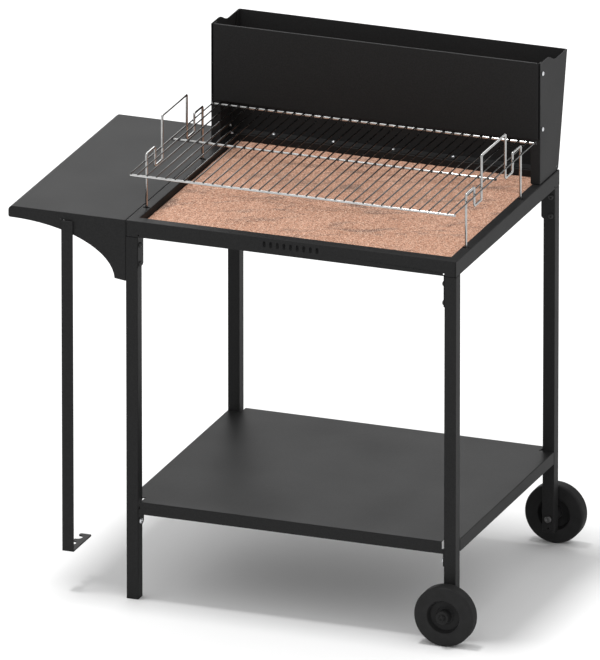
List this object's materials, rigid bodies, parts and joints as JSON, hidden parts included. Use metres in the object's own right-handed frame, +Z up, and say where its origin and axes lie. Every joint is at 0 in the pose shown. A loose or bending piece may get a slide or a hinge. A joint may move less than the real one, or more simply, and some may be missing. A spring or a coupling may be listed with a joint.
{
  "type": "charcoal barbecue trolley",
  "caption": "Charcoal and wood barbecue on square tube legs with wheels, a lift-off wire grate over a firebrick bed, a rear wind guard, a side table, a lower shelf and a hanging ember rake.",
  "frame": {"origin": "on the floor, under the middle of the whole object's box", "axes": "+Z up, +X to the right seen from the front, +Y to the rear"},
  "size_m": [1, 0.692, 1.056],
  "materials": {
    "sheet_coat": "satin black powder coat on folded sheet steel",
    "tube_coat": "satin black powder coat on square steel tube",
    "black_bolt": "satin black coated bolt head",
    "zinc": "bright zinc plate",
    "chrome_wire": "chromed steel wire",
    "firebrick": "coarse granular refractory, unglazed",
    "wheel_plastic": "moulded black plastic, lightly textured",
    "cap_plastic": "moulded black plastic"
  },
  "bodies": {
    "frame": {"axle_bolt_front": "zinc", "axle_bolt_rear": "zinc", "axle_nut_front": "zinc", "axle_nut_rear": "zinc", "cap_front_left": "cap_plastic", "cap_front_right": "cap_plastic", "cap_rear_left": "cap_plastic", "cap_rear_right": "cap_plastic", "firebox_pan": "sheet_coat", "firebrick_slab": "firebrick", "guard_front": "sheet_coat", "guard_left": "sheet_coat", "guard_rear": "sheet_coat", "guard_right": "sheet_coat", "guard_screw_left_foot": "zinc", "guard_screw_left_join": "zinc", "guard_screw_left_lower": "zinc", "guard_screw_left_upper": "zinc", "guard_screw_rear_1": "zinc", "guard_screw_rear_2": "zinc", "guard_screw_rear_3": "zinc", "guard_screw_rear_4": "zinc", "guard_screw_rear_5": "zinc", "guard_screw_right_foot": "zinc", "guard_screw_right_join": "zinc", "guard_screw_right_lower": "zinc", "guard_screw_right_upper": "zinc", "leg_bolt_front_left_1": "black_bolt", "leg_bolt_front_left_2": "black_bolt", "leg_bolt_front_right_1": "black_bolt", "leg_bolt_front_right_2": "black_bolt", "leg_bolt_rear_left_1": "black_bolt", "leg_bolt_rear_left_2": "black_bolt", "leg_bolt_rear_right_1": "black_bolt", "leg_bolt_rear_right_2": "black_bolt", "leg_front_left": "tube_coat", "leg_front_right": "tube_coat", "leg_rear_left": "tube_coat", "leg_rear_right": "tube_coat", "lower_shelf": "sheet_coat", "shelf_bolt_front_left": "zinc", "shelf_bolt_front_right": "zinc", "shelf_bolt_rear_left": "zinc", "shelf_bolt_rear_right": "zinc", "table_bolt_leg": "zinc", "table_bolt_top_1": "zinc", "table_bolt_top_2": "zinc", "table_plate_front": "sheet_coat", "table_plate_rear": "sheet_coat", "table_rivet": "black_bolt", "table_top": "sheet_coat"},
    "wheel_front": {"wheel_front": "wheel_plastic"},
    "wheel_rear": {"wheel_rear": "wheel_plastic"},
    "grate": {"grate_grid": "chrome_wire", "grate_frame_left": "chrome_wire", "grate_frame_right": "chrome_wire"},
    "rake": {"ember_rake": "sheet_coat"}
  },
  "joints": [
    {"name": "wheel_front_spin", "type": "hinge", "parent": "frame", "child": "wheel_front", "pos_m": [0.4375, -0.318, 0.0625], "axis": [0, 1, 0], "continuous": true},
    {"name": "wheel_rear_spin", "type": "hinge", "parent": "frame", "child": "wheel_rear", "pos_m": [0.4375, 0.318, 0.0625], "axis": [0, 1, 0], "continuous": true},
    {"name": "grate_lift", "type": "slide", "parent": "frame", "child": "grate", "axis": [0, 0, 1], "range_m": [0, 0.12]},
    {"name": "rake_swing", "type": "hinge", "parent": "frame", "child": "rake", "pos_m": [-0.3734, -0.29525, 0.7825], "axis": [-1, 0, 0], "range_deg": [0, 25]}
  ]
}
